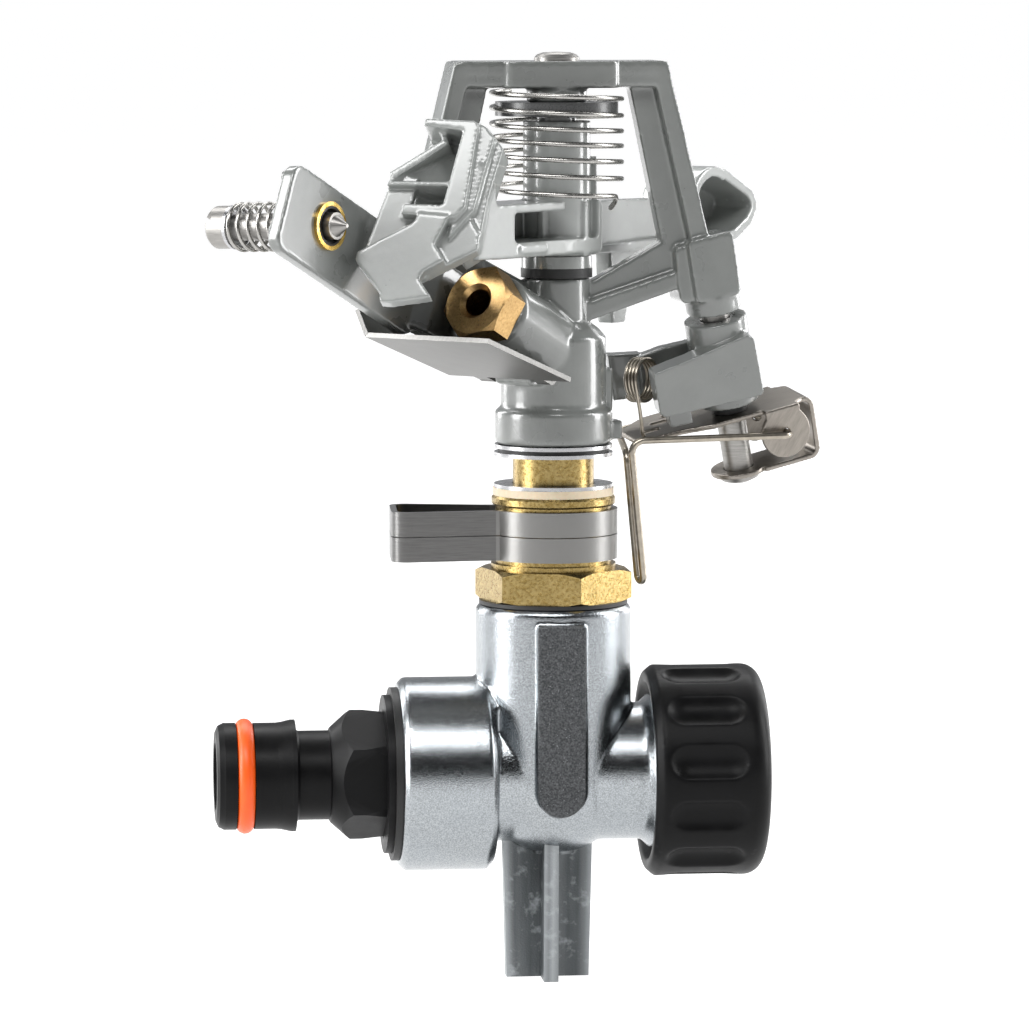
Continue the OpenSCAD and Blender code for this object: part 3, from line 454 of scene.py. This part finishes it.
DAX = (DIFF.to_3x3() @ Vector((0, 1, 0))).normalized()
# painted shade: the bush is near-black and non-metallic within 3.1 mm of the screw axis, around its bore
M["bush"] = masked("brass_bush_bore_shade", "gold", tuple(DIFF @ Vector((52.5, -8, 0.4)) * MM), tuple(DAX), 0.0031, (0.012, 0.010, 0.008), 0.0)
# painted highlight: the collars are a lighter steel within 10.8 mm of the bearing axis, on their rings
M["collar2"] = masked("steel_collar_ring_highlight", "collar", (0, 0, 0), (0, 0, 1), 0.0108, (0.24, 0.237, 0.23))
use.update({"diffuser_bush": "bush", "collar_upper": "collar2", "collar_lower": "collar2"})
for n, o in nodes.items():
    o.data.materials.clear()
    o.data.materials.append(M[use[n]])
    for p in o.data.polygons:
        p.use_smooth = True
    mod = o.modifiers.new("edges", "EDGE_SPLIT")
    mod.split_angle = math.radians(35)


# ---------------------------------------------------------------- pieces
def head_plate(y0, y1, pts):
    """closed prism in the head frame: outline in X-Z, thickness along Y"""
    n = len(pts)
    v = [HEAD @ Vector((x, y, z)) * MM for y in (y0, y1) for x, z in pts]
    f = [tuple(range(n)), tuple(range(2 * n - 1, n - 1, -1))]
    return v, f + [(i, i + n, (i + 1) % n + n, (i + 1) % n) for i in range(n)]


def soften(node, voxel, steps, decimate=None, shape=None, extra=()):
    """a copy of a casting with its edges and corners rounded, as it leaves the mould"""
    src = nodes[node]
    me = src.data.copy()
    if extra:
        bm = bmesh.new()
        bm.from_mesh(me)
        for vs, fs in extra:
            vv = [bm.verts.new(v) for v in vs]
            for f in fs:
                bm.faces.new([vv[i] for i in f])
        bm.to_mesh(me)
        bm.free()
    o = bpy.data.objects.new(node + "_cast", me)
    scene.collection.objects.link(o)
    r = o.modifiers.new("r", "REMESH")
    r.mode = "VOXEL"
    r.voxel_size = voxel * MM
    s = o.modifiers.new("s", "SMOOTH")
    s.factor = 0.5
    s.iterations = steps
    if decimate:
        d = o.modifiers.new("d", "DECIMATE")
        d.ratio = decimate
    dg = bpy.context.evaluated_depsgraph_get()
    new = bpy.data.meshes.new_from_object(o.evaluated_get(dg), depsgraph=dg)
    o.modifiers.clear()
    o.data = new
    if shape is not None:
        co = np.zeros(len(new.vertices) * 3)
        new.vertices.foreach_get("co", co)
        co = shape(co.reshape(-1, 3))
        new.vertices.foreach_set("co", co.reshape(-1))
    new.materials.clear()
    new.materials.append(M[use[node]])
    new.polygons.foreach_set("use_smooth", [True] * len(new.polygons))
    new.update()
    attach(o, body_of[node])
    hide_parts(node)
    return o


def sweep(name, pts, r, mat, sides=14, round_ends=True):
    """smooth round wire along points in mm, with rounded ends"""
    P = np.array(pts, float)
    n = len(P)
    T = np.zeros_like(P)
    T[1:-1] = P[2:] - P[:-2]
    T[0], T[-1] = P[1] - P[0], P[-1] - P[-2]
    T /= np.linalg.norm(T, axis=1)[:, None]
    u = np.cross(T[0], (0.3, 0.5, 0.81))
    u /= np.linalg.norm(u)
    rings = []
    for i in range(n):
        u = u - T[i] * (u @ T[i])
        u /= np.linalg.norm(u)
        v = np.cross(T[i], u)
        a = np.arange(sides) * 2 * math.pi / sides
        rings.append((P[i], T[i], np.outer(np.cos(a), u) + np.outer(np.sin(a), v)))
    rows = []
    if round_ends:
        for k in (80, 55, 30):
            c, t, w = rings[0]
            rows.append(c - t * r * math.sin(math.radians(k)) + w * r * math.cos(math.radians(k)))
    rows += [c + w * r for c, t, w in rings]
    if round_ends:
        for k in (30, 55, 80):
            c, t, w = rings[-1]
            rows.append(c + t * r * math.sin(math.radians(k)) + w * r * math.cos(math.radians(k)))
    verts = np.concatenate(rows) * MM
    m = len(rows)
    faces = [(i * sides + k, i * sides + (k + 1) % sides, (i + 1) * sides + (k + 1) % sides, (i + 1) * sides + k)
             for i in range(m - 1) for k in range(sides)]
    faces.append(tuple(range(sides - 1, -1, -1)))
    faces.append(tuple((m - 1) * sides + k for k in range(sides)))
    me = bpy.data.meshes.new(name)
    me.from_pydata([tuple(v) for v in verts], [], faces)
    me.polygons.foreach_set("use_smooth", [True] * len(me.polygons))
    me.materials.append(mat)
    o = bpy.data.objects.new(name, me)
    scene.collection.objects.link(o)
    return o


def place(M4, pts):
    return [tuple(M4 @ Vector(p)) for p in pts]


def rounded(pts, radii, n=8):
    out = [Vector(pts[0])]
    for i in range(1, len(pts) - 1):
        p, a, b = Vector(pts[i]), Vector(pts[i - 1]), Vector(pts[i + 1])
        u, w = (a - p).normalized(), (b - p).normalized()
        h = u.angle(w) / 2
        r = radii[i]
        c = p + (u + w).normalized() * r / math.sin(h)
        s, e = p + u * r / math.tan(h) - c, p + w * r / math.tan(h) - c
        t = math.pi - 2 * h
        for k in range(n + 1):
            f = k / n
            out.append(c + (math.sin((1 - f) * t) * s + math.sin(f * t) * e) / math.sin(t))
    out.append(Vector(pts[-1]))
    return [tuple(v) for v in out]


# the top bar is solid down to its underside and the outer flanges of the legs are wide
fill = [head_plate(-3.95, 3.95, [(-17.9, 122.75), (-17.0, 126.7), (17.0, 126.7), (17.9, 122.75)])]
for m in (-1, 1):
    fill.append(head_plate(-3.95, 3.95, [(m * 17.0, 126.5), (m * 24.1, 98), (m * 21.15, 98), (m * 14.85, 125.1)]))
soften("head_body", 0.26, 7, extra=fill)
soften("drive_arm", 0.24, 4)
soften("pawl", 0.2, 4)
soften("base_casting", 0.32, 4)
soften("end_cap", 0.3, 3)
soften("trip_plate", 0.17, 3)

# arm spring
stations = [(0, 122.0), (0.372, 121.5), (1.372, 118.8), (2.372, 116.3), (3.372, 114.0), (4.372, 111.5), (5.372, 108.9), (6.372, 106.0), (6.55, 105.5)]
st, sz = [a for a, _ in stations], [b for _, b in stations]
pts = []
for i in range(int(6.55 * 56) + 1):
    t = i / 56
    # smooth the pitch a little
    z = sum(np.interp(t + d, st, sz) for d in (-0.12, -0.06, 0, 0.06, 0.12)) / 5
    ang = math.radians(322 - (6.55 - t) * 360)
    pts.append((10.35 * math.cos(ang), 10.35 * math.sin(ang), z))
# the lower end leaves the coil and is hooked behind the corner of the box
a0 = math.radians(322)
e, f = Vector((math.cos(a0), math.sin(a0), 0)), Vector((-math.sin(a0), math.cos(a0), 0))
end = Vector(pts[-1])
for q in ((0.0, 1.0, -0.1), (-0.3, 1.9, -0.5), (-0.9, 2.6, -1.2), (-1.7, 2.9, -2.0)):
    pts.append(tuple(end + e * q[0] + f * q[1] + Vector((0, 0, q[2]))))
spring = sweep("arm_coil", place(HEAD, pts), 0.41, M["spring"], 12)
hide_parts("arm_spring")
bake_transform(spring)

# trip wire: one bent hairpin
pts = rounded([(6.6, -5.2, -20.3), (6.6, -8.5, -20.3), (-19.3, -4.5, -15.1), (-22.3, -7.9, -37.6), (-22.5, -5.8, -37.6),
               (-19.6, -2.4, -17.6), (-15.6, 11.0, -17.9), (6.6, 8.0, -20.3), (6.6, 4.8, -20.3)],
              [0, 1.2, 2, 1.04, 1.04, 2, 3, 1.2, 0])
wire = sweep("trip_hairpin", place(PLATE, pts), 0.57, M["wire"], 14)
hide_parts("trip_wire")
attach(wire, "wire")

# trip spring: four close turns, one leg hanging down to the wire
ax = Vector((math.cos(math.radians(313)), math.sin(math.radians(313)), 0))
sx = Vector((-ax.y, ax.x, 0))
cc = Vector((-14.5, 0.7, -7.8))
top = cc + ax * 2.5 - sx * 3.4
pts = [tuple(top + Vector((0.5, 0.5, -8.7))), tuple(top + Vector((0.1, 0.1, -8.5))), tuple(top + Vector((-0.15, 0.0, -8.0))),
       tuple(top + Vector((0, 0, -4.0))), tuple(top + Vector((0, 0, -0.4)))]
for i in range(int(3.9 * 40) + 1):
    t = i / 40
    ang = math.radians(180 - t * 360)
    pts.append(tuple(cc + ax * (2.5 - 0.64 * t) + sx * 3.4 * math.cos(ang) + Vector((0, 0, 3.4 * math.sin(ang)))))
tspr = sweep("trip_coil", place(TRIP, pts), 0.3, M["wire"], 12)
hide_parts("trip_spring")
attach(tspr, "pawl")

# diffuser spring
pts = []
turns = 6.5
for i in range(int(turns * 40) + 1):
    t = i / 40
    d = np.interp(t, [0, 0.75, turns - 0.75, turns], [0, 0.5, 10.3, 10.8])
    ang = math.radians(40 + t * 360)
    pts.append((52.5 + 3.6 * math.cos(ang), -15.4 - d, 0.4 + 3.6 * math.sin(ang)))
dspr = sweep("diffuser_coil", place(DIFF, pts), 0.32, M["spring"], 12)
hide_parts("diffuser_spring")
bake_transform(dspr)


# ---------------------------------------------------------------- floor and light
def plane(name, size, z, mat):
    me = bpy.data.meshes.new(name)
    s = size / 2
    me.from_pydata([(-s, -s, z), (s, -s, z), (s, s, z), (-s, s, z)], [], [(0, 1, 2, 3)])
    o = bpy.data.objects.new(name, me)
    scene.collection.objects.link(o)
    me.materials.append(mat)
    return o


ft = Tree("floor")
ft.color(ft.mix(ft.noise(6, 3, 0.5), (0.30, 0.30, 0.30), (0.33, 0.33, 0.33)))
ft.set(Roughness=0.8, Specular_IOR_Level=0.05)
ft.b.inputs["Emission Color"].default_value = (1, 1, 1, 1)
ft.b.inputs["Emission Strength"].default_value = 0.93
# the spike is pushed in: the ground meets it 20 mm under the casting
floor = plane("floor", 80, -0.0201, ft.m)

world = bpy.data.worlds.new("studio")
scene.world = world
world.use_nodes = True
wn = world.node_tree
wn.nodes.clear()
wo = wn.nodes.new("ShaderNodeOutputWorld")
wb = wn.nodes.new("ShaderNodeBackground")
wn.links.new(wb.outputs[0], wo.inputs[0])
wt = wn.nodes.new("ShaderNodeTexCoord")
ws = wn.nodes.new("ShaderNodeSeparateXYZ")
wn.links.new(wt.outputs["Generated"], ws.inputs[0])
wr = wn.nodes.new("ShaderNodeValToRGB")
els = wr.color_ramp.elements
els[0].position, els[0].color = 0.0, (0.62, 0.63, 0.65, 1)
els[1].position, els[1].color = 1.0, (0.10, 0.10, 0.11, 1)
e = els.new(0.3)
e.color = (0.55, 0.56, 0.58, 1)
e = els.new(0.75)
e.color = (0.36, 0.37, 0.38, 1)
wn.links.new(ws.outputs[2], wr.inputs[0])
# the room behind the camera is dark
wf = wn.nodes.new("ShaderNodeMapRange")
wf.inputs["From Min"].default_value = -0.86
wf.inputs["From Max"].default_value = -0.38
wf.inputs["To Min"].default_value = 0.04
wf.inputs["To Max"].default_value = 1.0
wn.links.new(ws.outputs[1], wf.inputs["Value"])
wm = wn.nodes.new("ShaderNodeMix")
wm.data_type = "RGBA"
wm.inputs[6].default_value = (0, 0, 0, 1)
wn.links.new(wf.outputs[0], wm.inputs[0])
wn.links.new(wr.outputs[0], wm.inputs[7])
wn.links.new(wm.outputs[2], wb.inputs[0])
wb.inputs[1].default_value = 0.62


def area(name, loc, target, sx, sy, power, color=(1, 1, 1)):
    d = bpy.data.lights.new(name, "AREA")
    d.shape = "RECTANGLE"
    d.size, d.size_y = sx, sy
    d.energy = power
    d.color = color
    o = bpy.data.objects.new(name, d)
    scene.collection.objects.link(o)
    o.location = loc
    v = Vector(target) - Vector(loc)
    o.rotation_euler = v.to_track_quat("-Z", "Y").to_euler()
    return o


T0 = (0, 0, 0.05)
area("key_left", (-1.05, -0.10, 0.40), T0, 0.42, 0.9, 13)
area("fill_right", (1.0, 0.02, 0.38), T0, 0.32, 0.9, 9)
area("front_top", (-0.25, -0.72, 0.95), T0, 0.9, 0.26, 8)
area("back_top", (0.0, 0.7, 1.0), T0, 1.2, 0.35, 8)
area("rim_left", (-0.75, 0.85, 0.3), T0, 0.35, 0.9, 5)
area("rim_right", (0.8, 0.8, 0.3), T0, 0.35, 0.9, 5)

scene.view_settings.view_transform = "Standard"
scene.view_settings.look = "None"
scene.view_settings.exposure = 0.0
